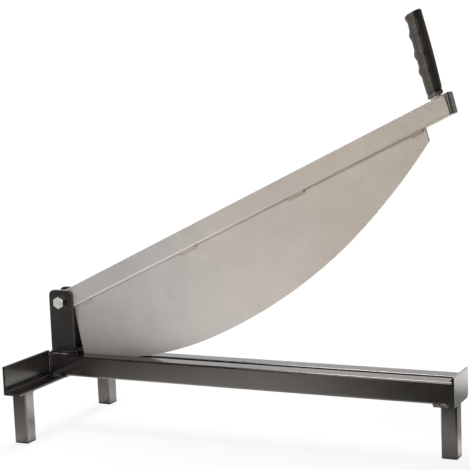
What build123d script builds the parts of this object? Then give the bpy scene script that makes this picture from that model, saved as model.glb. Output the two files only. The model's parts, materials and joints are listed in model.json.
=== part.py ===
"""Slate cutter: a three-legged bed of two rails with a long hinged blade between them.

Millimetres, +Z up, the bed runs along X with the hinge at the -X end, the user stands at -Y.
The origin is on the floor under the middle of the bed.  The arm is drawn half open.
"""
import math
import os

from build123d import *

os.makedirs("parts", exist_ok=True)

# Bed: two box-section rails with the blade slot between them
bed_length = 695.0
rail_width = 29.0
rail_height = 34.2
rail_wall = 2.5
rail_radius = 3.0
slot_width = 9.0

# Rolled steel angles across the two ends of the bed
angle_thickness = 4.0
angle_root = 4.0
angle_toe = 2.0
cross_angle_height = 46.0
cross_angle_width = 30.0
cross_angle_length = 324.0
end_angle_height = 45.2
end_angle_width = 32.0
end_angle_length = 73.0
end_angle_corner = 8.0

# Legs and their plastic feet
leg_side = 25.0
leg_wall = 2.0
leg_radius = 3.0
underside = 83.0
leg_end_gap = 21.5
end_leg_inset = 2.8
foot_thickness = 3.0
foot_plug = 14.0
foot_plug_wall = 2.0
foot_bevel = 0.8

# Hinge posts and the bolt through them
post_width = 43.0
post_thickness = 6.0
post_height = 107.0
post_corner = 9.5
pivot_below_top = 20.2
bolt_diameter = 12.0
bolt_flats = 18.0
bolt_head = 7.5
bolt_tail = 3.0
hex_turn = 30.0
hex_bevel = 1.0
nut_height = 9.0
nut_collar = 3.0
nut_collar_diameter = 16.5
washer_diameter = 24.0
washer_thickness = 0.8

# Swinging arm
arm_angle = 25.2
arm_width = 25.0
arm_height = 31.0
arm_wall = 2.0
arm_radius = 3.0
arm_tail = 16.0
arm_reach = 734.3
arm_end_rake = 11.0
bush_diameter = 18.0
cap_head = 5.4
cap_plug = 16.0
cap_plug_wall = 2.0

# Blade, in distances along the arm and below the hinge line
blade_thickness = 6.0
blade_start = 10.2
blade_end = 687.2
heel_corner = (-13.0, -106.0)
heel_run = (100.0, -141.0)
heel_curve = (165.0, -154.0)
belly = (235.0, -159.0)
belly_curve = (370.0, -149.8)
shoulder = (500.0, -119.2)
toe_curve = (595.0, -81.0)
toe = (683.8, -34.5)

# Handle and finger grip, in heights square to the top of the arm
handle_inset = 14.0
handle_lean = 10.8
rod_diameter = 16.0
rod_end_cover = 4.0
grip_lift = 3.0
grip_height = 126.0
grip_radius = 12.0
grip_bow = 1.0
grip_bevel = 2.5
collar_top = 8.8
collar_radius = 11.8
groove_top = 10.4
groove_radius = 10.8
finger_ridges = [43.5, 68.0, 96.0, 122.0]
ridge_height = 2.3
ridge_half_width = 9.0
ridge_steps = [-1.0, -0.5, 0.0, 0.5, 1.0]

# Weld beads
weld_leg = 4.0
post_weld_leg = 6.0
stitch_weld_leg = 5.0
weld_crown = 0.6
stitch_welds = [(30.0, 17.0), (234.0, 34.0), (444.0, 32.0), (662.0, 22.0)]

# Fits
hole_clearance = 0.25
running_clearance = 0.05
side_clearance = 0.3
plug_clearance = 0.1

# Places that follow from the sizes above
left = -bed_length / 2
right = bed_length / 2
bed_half = slot_width / 2 + rail_width
rail_middle = slot_width / 2 + rail_width / 2
rail_bottom = underside + angle_thickness
rail_top = rail_bottom + rail_height
rail_length = bed_length - angle_thickness
leg_x = left + leg_side / 2
end_leg_x = right - end_leg_inset - leg_side / 2
leg_y = cross_angle_length / 2 - leg_end_gap - leg_side / 2
post_inner = arm_width / 2 + side_clearance + washer_thickness
post_outer = post_inner + post_thickness
pivot_x = left + post_width / 2
pivot_z = rail_top + post_height - pivot_below_top
arm_rise = math.radians(arm_angle)
arm_along = Vector(math.cos(arm_rise), 0, math.sin(arm_rise))
arm_up = Vector(-math.sin(arm_rise), 0, math.cos(arm_rise))
front = Vector(0, -1, 0)
pivot = Vector(pivot_x, 0, pivot_z)
arm_side = Plane(origin=pivot, x_dir=arm_along, z_dir=front)


def box_tube(start, width, height, wall, radius, length):
    """Rounded box section from the start plane along its normal."""
    with BuildPart() as tube:
        with BuildSketch(start):
            RectangleRounded(width, height, radius)
            RectangleRounded(width - 2 * wall, height - 2 * wall, radius - wall, mode=Mode.SUBTRACT)
        extrude(amount=length)
    return tube


def angle_bar(start, height, width, length):
    """Rolled angle with its heel on the start plane's origin, web along Y, flange along X."""
    with BuildPart() as bar:
        with BuildSketch(start) as section:
            with BuildLine():
                Polyline((0, 0), (width, 0), (width, angle_thickness), (angle_thickness, angle_thickness),
                         (angle_thickness, height), (0, height), close=True)
            make_face()
            inner = section.vertices().sort_by_distance((angle_thickness, angle_thickness))
            fillet(inner[0], angle_root)
            fillet(section.vertices().sort_by_distance((width, angle_thickness))[0], angle_toe)
            fillet(section.vertices().sort_by_distance((angle_thickness, height))[0], angle_toe)
        extrude(amount=length)
    return bar


def weld_beads(corners, leg):
    """Fillet beads, each in the corner between its plane's X and Y axes and running along Z."""
    with BuildPart() as beads:
        for corner, run in corners:
            with BuildSketch(corner):
                with BuildLine():
                    Polyline((0, leg), (0, 0), (leg, 0))
                    ThreePointArc((leg, 0), (leg * weld_crown, leg * weld_crown), (0, leg))
                make_face()
            extrude(amount=run)
    return beads


def save(piece, label):
    piece.part.label = label
    export_step(piece.part, f"parts/{label}.step")


# Bed rails: the lower right corner is taken off to sit over the root of the end angle
def bed_rail(y):
    start = Plane(origin=(left, y, rail_bottom + rail_height / 2), x_dir=(0, 1, 0), z_dir=(1, 0, 0))
    tube = box_tube(start, rail_width, rail_height, rail_wall, rail_radius, rail_length)
    with BuildPart() as rail:
        add(tube.part)
        with BuildSketch(Plane(origin=(left + rail_length, y, rail_bottom), x_dir=(1, 0, 0), z_dir=front)):
            with BuildLine():
                Polyline((0, 0), (-angle_root, 0), (0, angle_root), close=True)
            make_face()
        extrude(amount=rail_width, both=True, mode=Mode.SUBTRACT)
    return rail


save(bed_rail(-rail_middle), "front_rail")
save(bed_rail(rail_middle), "rear_rail")

# Cross angle at the hinge end: the web is cut away for the width of the bed, so the rails run through
cross_start = Plane(origin=(left, cross_angle_length / 2, underside), x_dir=(1, 0, 0), z_dir=front)
cross_bar = angle_bar(cross_start, cross_angle_height, cross_angle_width, cross_angle_length)
with BuildPart() as cross_angle:
    add(cross_bar.part)
    with BuildSketch(Plane(origin=(left, 0, rail_bottom))):
        Rectangle(2 * cross_angle_width, 2 * bed_half)
    extrude(amount=cross_angle_height, mode=Mode.SUBTRACT)
save(cross_angle, "cross_angle")

# End angle: a short length that closes the slot, its web standing up as the end plate,
# flush with the front rail and past the rear one, its lower rear corner rounded off
end_start = Plane(origin=(right, -bed_half, underside), x_dir=(-1, 0, 0), z_dir=(0, 1, 0))
end_bar = angle_bar(end_start, end_angle_height, end_angle_width, end_angle_length)
end_rear = Plane((right, end_angle_length - bed_half, underside), x_dir=(0, -1, 0), z_dir=(-1, 0, 0))
corner_middle = end_angle_corner * (1 - math.sqrt(0.5))
with BuildPart() as end_angle:
    add(end_bar.part)
    with BuildSketch(end_rear):
        with BuildLine():
            Polyline((0, end_angle_corner), (0, 0), (end_angle_corner, 0))
            ThreePointArc((end_angle_corner, 0), (corner_middle, corner_middle), (0, end_angle_corner))
        make_face()
    extrude(amount=end_angle_width, mode=Mode.SUBTRACT)
save(end_angle, "end_angle")


# Legs and feet
def leg_at(x, y):
    start = Plane(origin=(x, y, foot_thickness))
    return box_tube(start, leg_side, leg_side, leg_wall, leg_radius, underside - foot_thickness)


def foot_at(x, y):
    plug_side = leg_side - 2 * leg_wall - 2 * plug_clearance
    plug_bore = plug_side - 2 * foot_plug_wall
    with BuildPart() as foot:
        with BuildSketch(Plane(origin=(x, y, 0))):
            RectangleRounded(leg_side, leg_side, leg_radius)
        extrude(amount=foot_thickness)
        chamfer(foot.edges().group_by(Axis.Z)[0], foot_bevel)
        with BuildSketch(Plane(origin=(x, y, foot_thickness))) as plug:
            Rectangle(plug_side, plug_side)
            chamfer(plug.vertices(), leg_radius - leg_wall)
            Rectangle(plug_bore, plug_bore, mode=Mode.SUBTRACT)
        extrude(amount=foot_plug)
    return foot


leg_places = {"front_left": (leg_x, -leg_y), "rear_left": (leg_x, leg_y), "right": (end_leg_x, 0)}
for name, (x, y) in leg_places.items():
    save(leg_at(x, y), f"{name}_leg")
    save(foot_at(x, y), f"{name}_foot")


# Hinge posts: flat bars standing on the rails, flush with the end of the bed
def post_from(y):
    with BuildPart() as post:
        with BuildSketch(Plane(origin=(pivot_x, y, rail_top), x_dir=(1, 0, 0), z_dir=front)) as face:
            with Locations((0, post_height / 2)):
                Rectangle(post_width, post_height)
            fillet(face.vertices().group_by(Axis.Z)[-1], post_corner)
            with Locations((0, post_height - pivot_below_top)):
                Circle(bolt_diameter / 2 + hole_clearance, mode=Mode.SUBTRACT)
        extrude(amount=post_thickness)
    return post


save(post_from(-post_inner), "front_post")
save(post_from(post_outer), "rear_post")

# Hinge bolt, self-locking nut and the thin washers that keep the arm off the posts
head_seat = Plane(origin=(pivot_x, -post_outer, pivot_z), x_dir=(1, 0, 0), z_dir=front)
nut_seat = Plane(origin=(pivot_x, post_outer, pivot_z), x_dir=(-1, 0, 0), z_dir=-front)
with BuildPart() as pivot_bolt:
    with BuildSketch(head_seat):
        RegularPolygon(bolt_flats / 2, 6, major_radius=False, rotation=hex_turn)
    extrude(amount=bolt_head)
    chamfer(pivot_bolt.edges().group_by(Axis.Y)[0], hex_bevel)
    with BuildSketch(head_seat):
        Circle(bolt_diameter / 2)
    extrude(amount=-(2 * post_outer + nut_height + nut_collar + bolt_tail))
    chamfer(pivot_bolt.edges().group_by(Axis.Y)[-1], hex_bevel)
save(pivot_bolt, "pivot_bolt")

with BuildPart() as pivot_nut:
    with BuildSketch(nut_seat):
        RegularPolygon(bolt_flats / 2, 6, major_radius=False, rotation=hex_turn)
    extrude(amount=nut_height)
    chamfer(pivot_nut.edges().group_by(Axis.Y)[-1], hex_bevel)
    with BuildSketch(nut_seat.offset(nut_height)):
        Circle(nut_collar_diameter / 2)
    extrude(amount=nut_collar)
    with BuildSketch(nut_seat):
        Circle(bolt_diameter / 2 + running_clearance)
    extrude(amount=nut_height + nut_collar, mode=Mode.SUBTRACT)
save(pivot_nut, "pivot_nut")

with BuildPart() as pivot_washers:
    for seat in (-post_inner + washer_thickness, post_inner):
        with BuildSketch(Plane(origin=(pivot_x, seat, pivot_z), x_dir=(1, 0, 0), z_dir=front)):
            Circle(washer_diameter / 2)
            Circle(bolt_diameter / 2 + hole_clearance, mode=Mode.SUBTRACT)
        extrude(amount=washer_thickness)
save(pivot_washers, "pivot_washers")

# Arm: a box section bored for the hinge bush, its far end cut on the rake
arm_half = arm_height / 2
rake = math.tan(math.radians(arm_end_rake))
arm_section = Plane(origin=pivot - arm_along * arm_tail, x_dir=(0, 1, 0), z_dir=arm_along)
arm_box = box_tube(arm_section, arm_width, arm_height, arm_wall, arm_radius, arm_tail + arm_reach + arm_half)
with BuildPart() as arm_tube:
    add(arm_box.part)
    with BuildSketch(arm_side):
        Circle(bush_diameter / 2)
    extrude(amount=arm_width, both=True, mode=Mode.SUBTRACT)
    with BuildSketch(arm_side):
        with BuildLine():
            Polyline((arm_reach + arm_half * rake, arm_half), (arm_reach - arm_half * rake, -arm_half),
                     (arm_reach + arm_height, -arm_half), (arm_reach + arm_height, arm_half), close=True)
        make_face()
    extrude(amount=arm_width, both=True, mode=Mode.SUBTRACT)
save(arm_tube, "arm_tube")

with BuildPart() as pivot_bush:
    with BuildSketch(arm_side):
        Circle(bush_diameter / 2)
        Circle(bolt_diameter / 2 + running_clearance, mode=Mode.SUBTRACT)
    extrude(amount=arm_width / 2, both=True)
save(pivot_bush, "pivot_bush")

# End cap: its head carries on the outline of the tube, its hollow plug sits inside
cap_tilt = math.radians(arm_angle - arm_end_rake)
cap_plane = Plane(origin=pivot + arm_along * arm_reach, x_dir=(0, 1, 0),
                  z_dir=(math.cos(cap_tilt), 0, math.sin(cap_tilt)))
cap_stretch = 1 / math.cos(math.radians(arm_end_rake))
plug_width = arm_width - 2 * arm_wall - 2 * plug_clearance
plug_height = arm_height - 2 * arm_wall - 2 * plug_clearance
with BuildPart() as arm_end_cap:
    with BuildSketch(cap_plane):
        RectangleRounded(arm_width, arm_height * cap_stretch, arm_radius)
    extrude(amount=cap_head, dir=arm_along)
    with BuildSketch(cap_plane):
        RectangleRounded(plug_width, plug_height * cap_stretch, arm_radius - arm_wall)
        Rectangle(plug_width - 2 * cap_plug_wall, plug_height * cap_stretch - 2 * cap_plug_wall,
                  mode=Mode.SUBTRACT)
    extrude(amount=cap_plug, dir=-arm_along)
save(arm_end_cap, "arm_end_cap")

# Blade: straight along the arm, bellied along the cutting edge, its heel lifted clear of the cross angle
with BuildPart() as blade:
    with BuildSketch(arm_side):
        with BuildLine():
            Polyline(toe, (blade_end, -arm_half), (blade_start, -arm_half), heel_corner, heel_run)
            ThreePointArc(heel_run, heel_curve, belly)
            ThreePointArc(belly, belly_curve, shoulder)
            ThreePointArc(shoulder, toe_curve, toe)
        make_face()
    extrude(amount=blade_thickness / 2, both=True)
save(blade, "blade")

# Handle rod, its foot cut to sit on the arm
lean = math.radians(handle_lean)
handle_tilt = arm_rise - lean
handle_along = Vector(-math.sin(handle_tilt), 0, math.cos(handle_tilt))
handle_foot = pivot + arm_along * (arm_reach - handle_inset) + arm_up * arm_half
handle_plane = Plane(origin=handle_foot, x_dir=(0, 1, 0), z_dir=handle_along)
arm_top = Plane(origin=handle_foot, x_dir=arm_along, z_dir=arm_up)
rod_radius = rod_diameter / 2
rod_length = (grip_height - rod_end_cover - rod_radius * math.sin(lean)) / math.cos(lean)
with BuildPart() as handle_rod:
    with BuildSketch(handle_plane.offset(-rod_radius)):
        Circle(rod_radius)
    extrude(amount=rod_length + rod_radius)
    split(bisect_by=arm_top)
save(handle_rod, "handle_rod")


# Finger grip: a bowed round grip with four ridges towards the fingers, over a groove and a collar
def grip_level(height):
    """Plane level with the top of the arm, its origin on the axis of the handle."""
    return Plane(origin=handle_foot + handle_along * (height / math.cos(lean)), x_dir=(0, 1, 0), z_dir=arm_up)


def grip_reach(height):
    """Radius without the ridges, bowed between the groove and the top."""
    return grip_radius + grip_bow * math.sin(math.pi * (height - groove_top) / (grip_height - groove_top))


grip_shoulder = grip_height - grip_bevel
grip_rounds = [(groove_top, grip_radius, 0)]
for crest in finger_ridges:
    for step in ridge_steps:
        height = crest + step * ridge_half_width
        if height < grip_shoulder:
            swell = ridge_height * math.cos(math.pi / 2 * step) ** 2
            grip_rounds.append((height, grip_reach(height), swell))
grip_rounds.append((grip_shoulder, grip_reach(grip_shoulder), ridge_height))
grip_rounds.append((grip_height, grip_radius - grip_bevel, ridge_height / 2))
with BuildPart() as hand_grip:
    for height, reach, swell in grip_rounds:
        with BuildSketch(grip_level(height)):
            with Locations((0, swell / 2)):
                Circle(reach + swell / 2)
    loft(ruled=True)
    for bottom, top, radius in ((grip_lift, collar_top, collar_radius), (collar_top, groove_top, groove_radius)):
        with BuildSketch(grip_level(bottom)):
            Circle(radius)
        extrude(amount=(top - bottom) / math.cos(lean), dir=handle_along)
    with BuildSketch(handle_plane):
        Circle(rod_radius)
    extrude(amount=rod_length, mode=Mode.SUBTRACT)
save(hand_grip, "hand_grip")

# Weld beads at the feet of the posts, outside and in
post_right = left + post_width
post_corners = []
for face in (-post_outer, post_inner):
    post_corners.append((Plane((left, face, rail_top), x_dir=(0, 0, 1), z_dir=(1, 0, 0)), post_width))
for face in (-post_inner, post_outer):
    post_corners.append((Plane((post_right, face, rail_top), x_dir=(0, 0, 1), z_dir=(-1, 0, 0)), post_width))
save(weld_beads(post_corners, post_weld_leg), "post_welds")

# Weld beads between the cross angle and the rails: up the web, along the flange and under the rails
web_face = left + angle_thickness
web_run = rail_height - angle_root - rail_radius
flange_edge = left + cross_angle_width
flange_run = cross_angle_width - angle_thickness - angle_root - angle_toe
under_run = rail_width - 2 * rail_radius
web_foot = rail_bottom + angle_root
cross_corners = [
    (Plane((web_face, -bed_half, web_foot), x_dir=(0, -1, 0), z_dir=(0, 0, 1)), web_run),
    (Plane((web_face, bed_half, web_foot), x_dir=(1, 0, 0), z_dir=(0, 0, 1)), web_run),
    (Plane((web_face + angle_root, -bed_half, rail_bottom), x_dir=(0, 0, 1), z_dir=(1, 0, 0)), flange_run),
    (Plane((flange_edge - angle_toe, bed_half, rail_bottom), x_dir=(0, 0, 1), z_dir=(-1, 0, 0)), flange_run)]
for y in (-rail_middle, rail_middle):
    under = Plane((flange_edge, y - under_run / 2, rail_bottom), x_dir=(1, 0, 0), z_dir=(0, 1, 0))
    cross_corners.append((under, under_run))
save(weld_beads(cross_corners, weld_leg), "cross_angle_welds")

# Weld beads at the end angle: under the rails along its edge, and across their tops against its web
end_edge = right - end_angle_width
end_face = right - angle_thickness
end_corners = []
for y in (-rail_middle, rail_middle):
    under = Plane((end_edge, y - under_run / 2, rail_bottom), x_dir=(0, 0, -1), z_dir=(0, 1, 0))
    over = Plane((end_face, y - under_run / 2, rail_top), x_dir=(-1, 0, 0), z_dir=(0, 1, 0))
    end_corners.append((under, under_run))
    end_corners.append((over, under_run))
save(weld_beads(end_corners, weld_leg), "end_angle_welds")

# Weld beads round the tops of the legs: front and rear faces, then the face under the free edge
leg_run = leg_side - 2 * leg_radius
leg_corners = []
for x, y in leg_places.values():
    leg_front = Plane((x - leg_run / 2, y - leg_side / 2, underside), x_dir=(0, -1, 0), z_dir=(1, 0, 0))
    leg_rear = Plane((x + leg_run / 2, y + leg_side / 2, underside), x_dir=(0, 1, 0), z_dir=(-1, 0, 0))
    leg_corners.append((leg_front, leg_run))
    leg_corners.append((leg_rear, leg_run))
for y in (-leg_y, leg_y):
    leg_edge = Plane((leg_x + leg_side / 2, y - leg_run / 2, underside), x_dir=(1, 0, 0), z_dir=(0, 1, 0))
    leg_corners.append((leg_edge, leg_run))
end_leg_edge = Plane((end_leg_x - leg_side / 2, -leg_run / 2, underside), x_dir=(0, 0, -1), z_dir=(0, 1, 0))
leg_corners.append((end_leg_edge, leg_run))
save(weld_beads(leg_corners, weld_leg), "leg_welds")

# Short stitch welds that hold the blade to the arm, on both sides
stitch_corners = []
for place, run in stitch_welds:
    near = pivot + arm_along * place - arm_up * arm_half + front * (blade_thickness / 2)
    far = pivot + arm_along * (place + run) - arm_up * arm_half - front * (blade_thickness / 2)
    stitch_corners.append((Plane(near, x_dir=front, z_dir=arm_along), run))
    stitch_corners.append((Plane(far, x_dir=-front, z_dir=-arm_along), run))
save(weld_beads(stitch_corners, stitch_weld_leg), "blade_welds")
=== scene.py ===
# %% [markdown]
# # Dressing a slate cutter
# A slate cutter is a low steel bed on legs with a long blade that swings down between two rails.
# The CAD model already holds every piece at its real size, so this lesson never moves one.
# It adds what CAD leaves out: paint, satin steel, zinc and rubber, rippled weld beads, a fluted grip
# and a threaded bolt.  All lengths are metres.  X runs along the bed from the hinge, -Y is the front
# and Z is up.

# %% Load the frame
import json
import math

import bmesh
import bpy
from mathutils import Matrix, Vector, noise


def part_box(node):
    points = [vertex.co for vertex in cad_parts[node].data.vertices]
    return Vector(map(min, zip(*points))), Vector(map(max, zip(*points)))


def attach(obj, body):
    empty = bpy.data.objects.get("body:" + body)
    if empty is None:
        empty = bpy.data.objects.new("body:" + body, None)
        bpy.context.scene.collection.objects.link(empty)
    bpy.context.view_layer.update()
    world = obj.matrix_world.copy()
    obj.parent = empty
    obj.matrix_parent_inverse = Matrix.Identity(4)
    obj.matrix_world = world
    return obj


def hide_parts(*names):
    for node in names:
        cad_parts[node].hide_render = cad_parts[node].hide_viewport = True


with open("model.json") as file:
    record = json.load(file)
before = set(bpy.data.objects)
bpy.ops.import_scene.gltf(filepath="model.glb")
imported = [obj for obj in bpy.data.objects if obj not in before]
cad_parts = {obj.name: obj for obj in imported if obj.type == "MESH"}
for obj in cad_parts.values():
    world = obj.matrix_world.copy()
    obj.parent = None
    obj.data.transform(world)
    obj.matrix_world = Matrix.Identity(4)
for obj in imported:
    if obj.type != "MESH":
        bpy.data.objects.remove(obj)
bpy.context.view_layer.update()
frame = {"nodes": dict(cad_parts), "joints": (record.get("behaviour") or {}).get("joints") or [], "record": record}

right_way = Vector((1, 0, 0))
front = Vector((0, -1, 0))
rear = -front
up = Vector((0, 0, 1))

# %% [markdown]
# ## The camera
# A photograph has one place from which its perspective is right.  A camera can be set by eye, but then
# every edge is a little off.  The one below was found by fitting a pinhole camera to the straight
# edges of the bed, the legs and the arm.

# %% Camera
eye = Vector((0.8796, -1.8478, 0.5892))
yaw = 0.44831
pitch = -0.12839
roll = -0.039
photo_width = 470
focal_pixels = 1326.67
sensor_width = 36.0
farthest_seen = 50

look = Vector((-math.sin(yaw) * math.cos(pitch), math.cos(yaw) * math.cos(pitch), math.sin(pitch)))
level = Vector((math.cos(yaw), math.sin(yaw), 0))
rise = level.cross(look)
across = level * math.cos(roll) + rise * math.sin(roll)
upright = rise * math.cos(roll) - level * math.sin(roll)

camera = bpy.data.objects.new("camera", bpy.data.cameras.new("camera"))
camera.matrix_world = Matrix.Translation(eye) @ Matrix((across, upright, -look)).transposed().to_4x4()
camera.data.sensor_width = sensor_width
camera.data.lens = focal_pixels / photo_width * sensor_width
camera.data.clip_end = farthest_seen
bpy.context.scene.collection.objects.link(camera)
bpy.context.scene.camera = camera
bpy.context.scene.view_settings.view_transform = "Standard"
print("lens", round(camera.data.lens, 2), "mm")

# %% [markdown]
# ## Node helpers
# Every finish below is a small graph of nodes.  Clicked together by hand, nobody could read how it was
# made, and written out node by node it takes many lines.  So one helper fills the sockets of a node,
# one adds a node, and the others name the steps that come back.

# %% Node helpers
def fill(tree, node, sockets):
    """Link or set sockets of a node; each value is either another node's output or a constant."""
    for socket, value in sockets.items():
        if isinstance(value, bpy.types.NodeSocket):
            tree.links.new(value, node.inputs[socket])
        else:
            node.inputs[socket].default_value = value


def add_node(tree, kind, sockets=None, **options):
    made = tree.nodes.new(kind)
    for option, value in options.items():
        setattr(made, option, value)
    fill(tree, made, sockets or {})
    return made


def arithmetic(tree, operation, first, second):
    return add_node(tree, "ShaderNodeMath", {0: first, 1: second}, operation=operation).outputs[0]


def unsigned(tree, value):
    return add_node(tree, "ShaderNodeMath", {0: value}, operation="ABSOLUTE").outputs[0]


def split(tree, vector):
    """The X, Y and Z of a vector."""
    return add_node(tree, "ShaderNodeSeparateXYZ", {0: vector}).outputs


def join(tree, operation, first, second):
    """A vector from two others, such as SUBTRACT."""
    made = add_node(tree, "ShaderNodeVectorMath", {0: first, 1: second}, operation=operation)
    return made.outputs["Vector"]


def measure(tree, operation, first, second=(0, 0, 0)):
    """A number from vectors: DOT_PRODUCT, DISTANCE or LENGTH."""
    made = add_node(tree, "ShaderNodeVectorMath", {0: first, 1: second}, operation=operation)
    return made.outputs["Value"]


print("node helpers ready")

# %% [markdown]
# ## Zones
# A finish or a light often changes over a stretch: dark on one side, light on the other, with an easy
# change between.  A painted mask could hold that, but a few numbers say it more clearly: what is
# measured, where the change starts and ends, and the level at either end.

# %% Zones
def spread(tree, measured, start, end, level_before, level_after):
    """A level that eases from one value to another as what is measured goes from start to end."""
    sockets = {"Value": measured, "From Min": start, "From Max": end,
               "To Min": level_before, "To Max": level_after}
    return add_node(tree, "ShaderNodeMapRange", sockets, interpolation_type="SMOOTHSTEP").outputs["Result"]


def dim(tree, level, *zone):
    """Scale a level by one zone."""
    return arithmetic(tree, "MULTIPLY", level, spread(tree, *zone))


def dim_by_all(tree, level, zones):
    """Scale a level by every zone of a dictionary, whose keys say what the zones are."""
    for zone in zones.values():
        level = dim(tree, level, *zone)
    return level


def weigh(tree, *pairs):
    """Add up levels, each times its share."""
    total = 0.0
    for share, level in pairs:
        total = arithmetic(tree, "ADD", total, arithmetic(tree, "MULTIPLY", share, level))
    return total


print("zone helpers ready")

# %% [markdown]
# ## The floor
# The cutter stands on a plain white table.  A paper sweep could be modelled, but a square far larger
# than the view looks the same.

# %% Floor
floor_half = 6.0
corners = [(x * floor_half, y * floor_half, 0) for x, y in ((-1, -1), (1, -1), (1, 1), (-1, 1))]
floor_mesh = bpy.data.meshes.new("floor")
floor_mesh.from_pydata(corners, [], [(0, 1, 2, 3)])
floor = bpy.data.objects.new("floor", floor_mesh)
bpy.context.scene.collection.objects.link(floor)
print("floor", 2 * floor_half, "m wide")

# %% [markdown]
# ## Shade and light round the bed
# Gloss paint shows its surroundings more than its own colour, and what it mirrors most is the table.
# The table isn't evenly white: the rails shade it behind the bed and under the slot, a lighter strip
# lies beside the legs at the hinge, and in front the light falls off to the right.  White cards and
# black flags would give the same reflections, but they would stand in the way of other views.

# %% Shade and light round the bed
along_the_fade = Vector((0.935, -0.353, 0))


def slot_distance(tree, along_bed, depth):
    """Distance from the strip of floor under the open part of the slot."""
    past_blade = spread(tree, along_bed, -0.2, -0.05, 0.1, 0.0)
    past_end = spread(tree, along_bed, 0.22, 0.28, 0.0, 0.1)
    sideways = arithmetic(tree, "ADD", unsigned(tree, depth), past_blade)
    return arithmetic(tree, "ADD", sideways, past_end)


def shade_behind_rails(tree, along_bed, depth):
    """1 on open floor, less behind the rails."""
    behind = dim(tree, spread(tree, depth, 0.02, 0.14, 0.0, 0.70), along_bed, -0.17, -0.08, 0.0, 1.0)
    return arithmetic(tree, "SUBTRACT", 1.0, behind)


def light_at_hinge(tree, along_bed, outward):
    """1 on open floor, more on a strip beside the legs at the hinge."""
    strip = dim(tree, spread(tree, outward, -0.14, -0.05, 0.0, 0.5), outward, -0.03, 0.02, 1.0, 0.0)
    strip = dim(tree, strip, along_bed, -0.22, -0.12, 1.0, 0.0)
    return arithmetic(tree, "ADD", 1.0, strip)


def fade_in_front(tree, place, outward):
    """1 near the bed; further out in front the light falls off to the right."""
    fade = spread(tree, measure(tree, "DOT_PRODUCT", place, along_the_fade), -0.06, 0.36, 1.0, 0.05)
    return arithmetic(tree, "MAXIMUM", fade, spread(tree, outward, 0.27, 0.40, 1.0, 0.0))


print("four patches of shade and light")

# %% [markdown]
# ## How white the paint mirrors the table
# In the photograph the table is over-exposed, so in the paint it can look brighter than white.  It is
# brightest under the bed, ends in front like a real table top, and is darker past both ends of the
# bed.  The zones run along the bed or towards the camera, so a few directions are enough.

# %% Mirrored table
under_white = 3.0
front_white = 1.42
in_front = Vector((math.sin(yaw), -math.cos(yaw), 0))
right_and_front = Vector((0.9, -0.4, 0))


def mirrored_white(tree, place):
    """How white the floor looks in the paint."""
    along_bed, depth, _ = split(tree, place)
    outward = measure(tree, "DOT_PRODUCT", place, in_front)
    rightward = measure(tree, "DOT_PRODUCT", place, right_and_front)
    white = spread(tree, outward, -0.1, 0.3, under_white, front_white)
    white = dim_by_all(tree, white, {
        "the table ends in front": (outward, 0.50, 0.70, 1.0, 0.02),
        "it is darker past the hinge": (along_bed, -0.62, 0.0, 0.10, 1.0),
        "and past the far end": (rightward, 0.36, 0.52, 1.0, 0.1),
        "it is darker behind the bed": (depth, 0.15, 0.30, 1.0, 0.58),
        "and bright at the backdrop": (depth, 0.33, 0.50, 1.0, 4.6),
        "it is in shade under the slot": (slot_distance(tree, along_bed, depth), 0.02, 0.06, 0.12, 1.0)})
    for share in (shade_behind_rails(tree, along_bed, depth), light_at_hinge(tree, along_bed, outward),
                  fade_in_front(tree, place, outward)):
        white = arithmetic(tree, "MULTIPLY", white, share)
    return white


print("mirrored white", under_white, "under the bed,", front_white, "in front")

# %% [markdown]
# ## The white floor
# To the camera the table is pure white with a faint shadow, so most of its white is a glow and a small
# share is matt, where shadows show.  Mirrored rays see the zones above, slightly warm, and a patch at
# the far left that shows in the posts.  All other rays see a plain white table, which lights the
# undersides.  The Light Path node tells the three kinds of ray apart.

# %% White floor
plain_white = 0.9
shadow_share = 0.13
warmth = 0.03


def make_white_floor():
    material = bpy.data.materials.new("white_floor")
    material.use_nodes = True
    tree = material.node_tree
    tree.nodes.remove(tree.nodes["Principled BSDF"])
    place = add_node(tree, "ShaderNodeTexCoord").outputs["Object"]
    along_bed, depth, _ = split(tree, place)
    reach = measure(tree, "LENGTH", place)
    rays = add_node(tree, "ShaderNodeLightPath").outputs
    seen = arithmetic(tree, "MAXIMUM", rays["Is Camera Ray"], rays["Is Transmission Ray"])
    mirrored = rays["Is Glossy Ray"]
    other = arithmetic(tree, "SUBTRACT", 1.0, arithmetic(tree, "MAXIMUM", seen, mirrored))

    white = weigh(tree, (other, plain_white), (seen, shadow_share), (mirrored, mirrored_white(tree, place)))
    less_blue = arithmetic(tree, "SUBTRACT", 1.0, arithmetic(tree, "MULTIPLY", mirrored, warmth))
    blue = arithmetic(tree, "MULTIPLY", white, less_blue)
    colour = add_node(tree, "ShaderNodeCombineColor", {0: white, 1: white, 2: blue}).outputs[0]
    matt = add_node(tree, "ShaderNodeBsdfDiffuse", {"Color": colour}).outputs[0]

    far_left = dim(tree, spread(tree, along_bed, -1.3, -0.7, 0.9, 0.0), depth, -1.4, -0.8, 0.0, 1.0)
    strength = weigh(tree, (seen, spread(tree, reach, 0.5, 1.5, 0.87, 1.0)),
                     (other, spread(tree, reach, 0.9, 2.4, 0.75, 0.15)), (mirrored, far_left))
    glow = add_node(tree, "ShaderNodeEmission", {"Strength": strength}).outputs[0]
    surface = add_node(tree, "ShaderNodeAddShader", {0: glow, 1: matt}).outputs[0]
    fill(tree, tree.nodes["Material Output"], {"Surface": surface})
    return material


floor_mesh.materials.append(make_white_floor())
print("white floor,", shadow_share, "of it open to shadow")

# %% [markdown]
# ## The backdrop
# Behind the cutter hangs a white backdrop; the room in front, overhead and to the right is dimmer.
# A sheet of cloth could be modelled, but the world does it without an edge: its level follows the
# heading of a ray.  The camera itself always sees plain white.

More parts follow.
